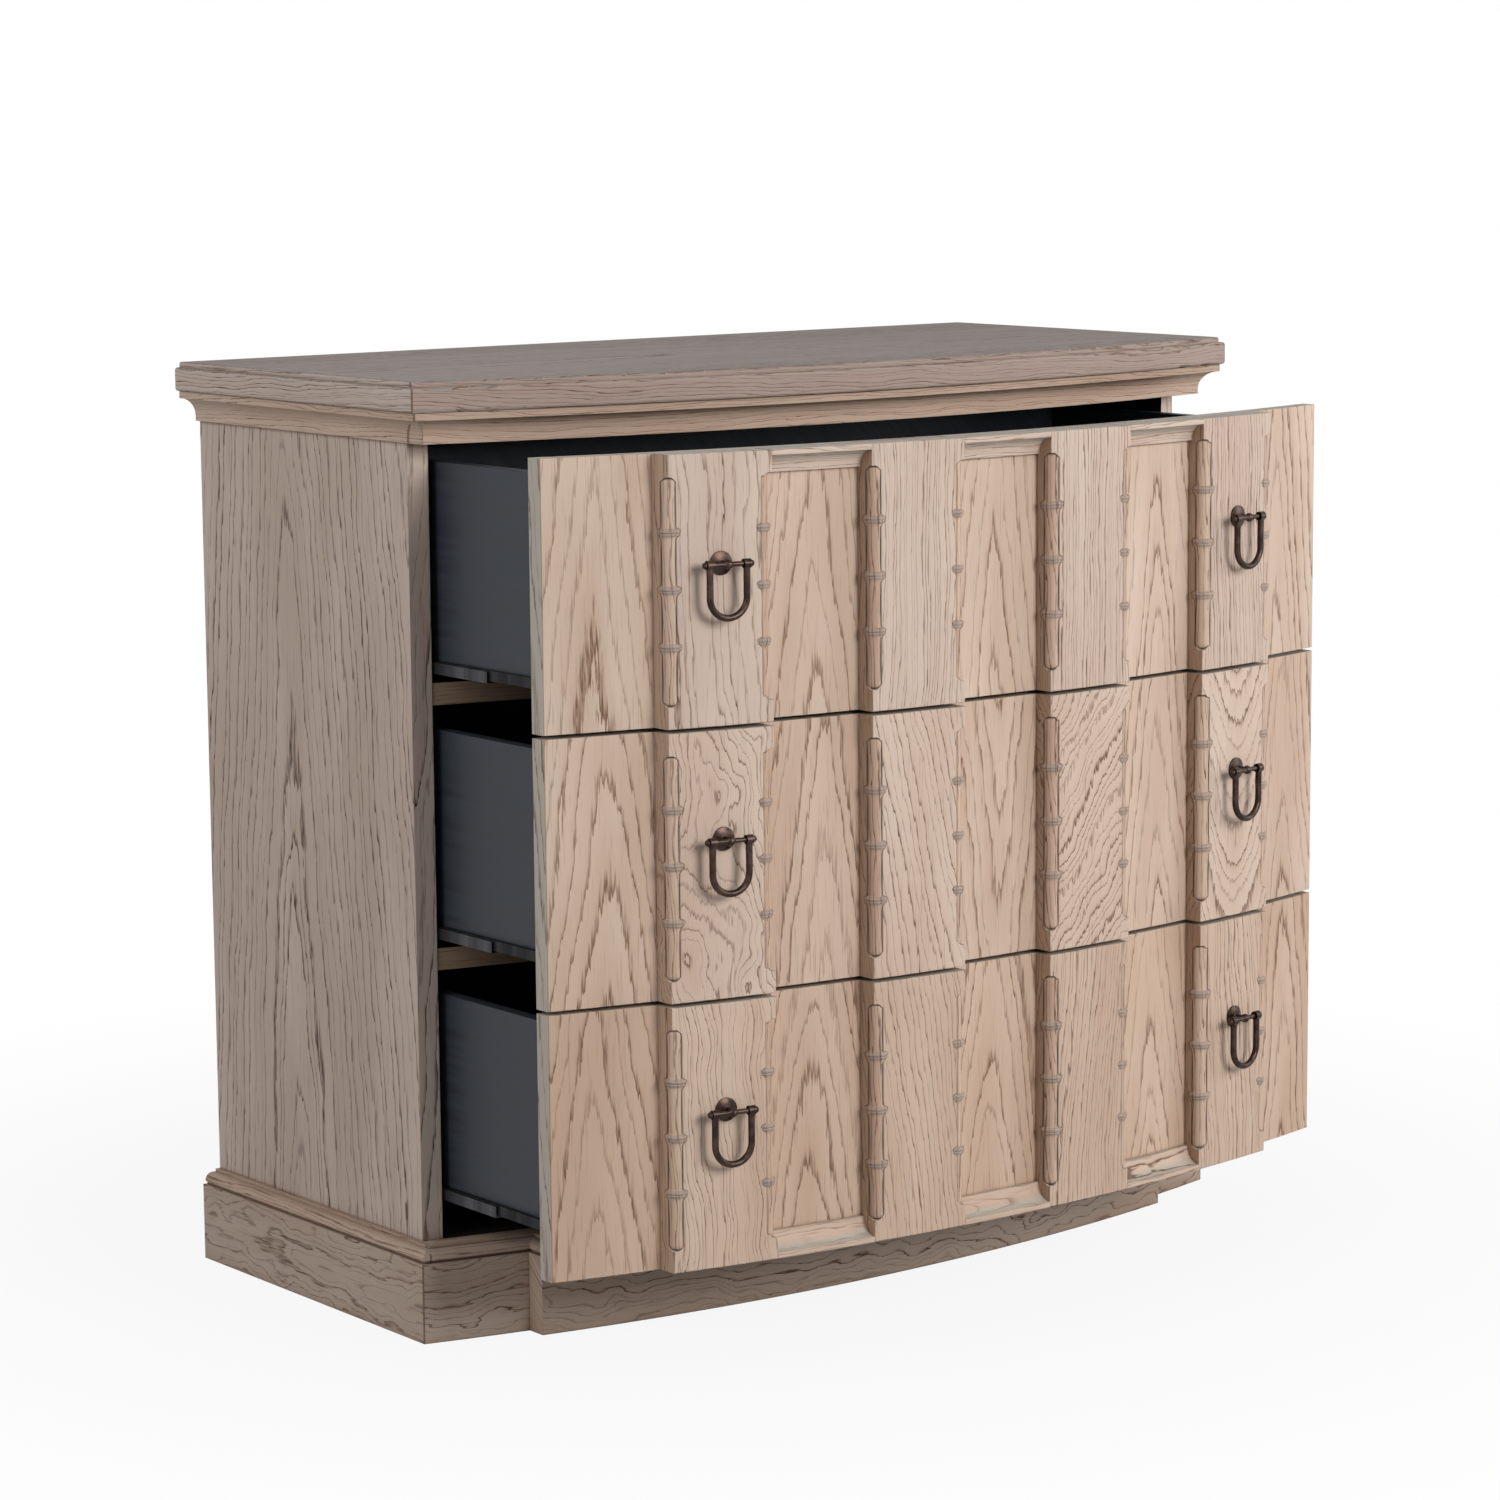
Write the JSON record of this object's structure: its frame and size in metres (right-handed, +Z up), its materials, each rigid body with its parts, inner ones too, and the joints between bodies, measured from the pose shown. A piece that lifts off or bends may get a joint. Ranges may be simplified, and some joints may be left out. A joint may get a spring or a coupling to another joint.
{
  "type": "block front chest of drawers",
  "caption": "Bow-fronted wooden chest of drawers with raised front blocks, carved bamboo rods, coved cornice, moulded plinth and drop pulls; drawers slide and bails swing.",
  "frame": {"origin": "on the floor under the middle of the case: half way between the sides and half way along their depth", "axes": "+Z up, -Y out of the front, +X to the right of a viewer who faces the front; drawers open along -Y"},
  "size_m": [0.9654, 0.6357, 0.864],
  "materials": {
    "limed_oak": "limed open-grain oak veneer, satin wax with a dark glaze in the joints",
    "painted_box": "blue-grey satin paint",
    "dark_interior": "dark brown stain, matt",
    "bronze": "dark oil-rubbed bronze with worn copper high spots",
    "slide_steel": "bright zinc plate"
  },
  "bodies": {
    "case": {"side_left": "limed_oak", "side_right": "limed_oak", "back_panel": "dark_interior", "top_board": "limed_oak", "cornice_front": "limed_oak", "cornice_left": "limed_oak", "cornice_right": "limed_oak", "top_rail": "dark_interior", "divider_upper": "dark_interior", "divider_lower": "dark_interior", "bottom_board": "dark_interior", "plinth_front": "limed_oak", "plinth_block": "limed_oak", "plinth_left": "limed_oak", "plinth_right": "limed_oak", "plinth_back": "dark_interior", "plinth_stretcher": "dark_interior", "cap_front": "limed_oak", "cap_left": "limed_oak", "cap_right": "limed_oak", "case_slide_rails": "slide_steel"},
    "lower_drawer": {"lower_drawer_front": "limed_oak", "lower_drawer_blocks": "limed_oak", "lower_drawer_bamboo_rods": "limed_oak", "lower_drawer_side_left": "painted_box", "lower_drawer_side_right": "painted_box", "lower_drawer_back": "painted_box", "lower_drawer_bottom": "painted_box", "lower_drawer_runners": "slide_steel", "lower_drawer_pull_posts": "bronze", "lower_drawer_pull_screws": "slide_steel"},
    "lower_slide": {"lower_drawer_slide_members": "slide_steel"},
    "lower_bail_left": {"lower_drawer_bail_left": "bronze"},
    "lower_bail_right": {"lower_drawer_bail_right": "bronze"},
    "middle_drawer": {"middle_drawer_front": "limed_oak", "middle_drawer_blocks": "limed_oak", "middle_drawer_bamboo_rods": "limed_oak", "middle_drawer_side_left": "painted_box", "middle_drawer_side_right": "painted_box", "middle_drawer_back": "painted_box", "middle_drawer_bottom": "painted_box", "middle_drawer_runners": "slide_steel", "middle_drawer_pull_posts": "bronze", "middle_drawer_pull_screws": "slide_steel"},
    "middle_slide": {"middle_drawer_slide_members": "slide_steel"},
    "middle_bail_left": {"middle_drawer_bail_left": "bronze"},
    "middle_bail_right": {"middle_drawer_bail_right": "bronze"},
    "upper_drawer": {"upper_drawer_front": "limed_oak", "upper_drawer_blocks": "limed_oak", "upper_drawer_bamboo_rods": "limed_oak", "upper_drawer_side_left": "painted_box", "upper_drawer_side_right": "painted_box", "upper_drawer_back": "painted_box", "upper_drawer_bottom": "painted_box", "upper_drawer_runners": "slide_steel", "upper_drawer_pull_posts": "bronze", "upper_drawer_pull_screws": "slide_steel"},
    "upper_slide": {"upper_drawer_slide_members": "slide_steel"},
    "upper_bail_left": {"upper_drawer_bail_left": "bronze"},
    "upper_bail_right": {"upper_drawer_bail_right": "bronze"}
  },
  "joints": [
    {"name": "lower_drawer_slide", "type": "slide", "parent": "case", "child": "lower_drawer", "axis": [0, -1, 0], "range_m": [-0.185, 0.115]},
    {"name": "lower_slide_members", "type": "slide", "parent": "case", "child": "lower_slide", "axis": [0, -1, 0], "range_m": [-0.0925, 0.0575]},
    {"name": "lower_bail_left_swing", "type": "hinge", "parent": "lower_drawer", "child": "lower_bail_left", "pos_m": [-0.30706, -0.44583, 0.23133], "axis": [-0.9869, 0.1611, 0], "range_deg": [-12, 192]},
    {"name": "lower_bail_right_swing", "type": "hinge", "parent": "lower_drawer", "child": "lower_bail_right", "pos_m": [0.30706, -0.44583, 0.23133], "axis": [-0.9869, -0.1611, 0], "range_deg": [-12, 192]},
    {"name": "middle_drawer_slide", "type": "slide", "parent": "case", "child": "middle_drawer", "axis": [0, -1, 0], "range_m": [-0.185, 0.115]},
    {"name": "middle_slide_members", "type": "slide", "parent": "case", "child": "middle_slide", "axis": [0, -1, 0], "range_m": [-0.0925, 0.0575]},
    {"name": "middle_bail_left_swing", "type": "hinge", "parent": "middle_drawer", "child": "middle_bail_left", "pos_m": [-0.30706, -0.44583, 0.47117], "axis": [-0.9869, 0.1611, 0], "range_deg": [-12, 192]},
    {"name": "middle_bail_right_swing", "type": "hinge", "parent": "middle_drawer", "child": "middle_bail_right", "pos_m": [0.30706, -0.44583, 0.47117], "axis": [-0.9869, -0.1611, 0], "range_deg": [-12, 192]},
    {"name": "upper_drawer_slide", "type": "slide", "parent": "case", "child": "upper_drawer", "axis": [0, -1, 0], "range_m": [-0.185, 0.115]},
    {"name": "upper_slide_members", "type": "slide", "parent": "case", "child": "upper_slide", "axis": [0, -1, 0], "range_m": [-0.0925, 0.0575]},
    {"name": "upper_bail_left_swing", "type": "hinge", "parent": "upper_drawer", "child": "upper_bail_left", "pos_m": [-0.30706, -0.44583, 0.711], "axis": [-0.9869, 0.1611, 0], "range_deg": [-12, 192]},
    {"name": "upper_bail_right_swing", "type": "hinge", "parent": "upper_drawer", "child": "upper_bail_right", "pos_m": [0.30706, -0.44583, 0.711], "axis": [-0.9869, -0.1611, 0], "range_deg": [-12, 192]}
  ],
  "couplings": [
    {"joint": "lower_slide_members", "follows": "lower_drawer_slide", "ratio": 0.5},
    {"joint": "middle_slide_members", "follows": "middle_drawer_slide", "ratio": 0.5},
    {"joint": "upper_slide_members", "follows": "upper_drawer_slide", "ratio": 0.5}
  ]
}
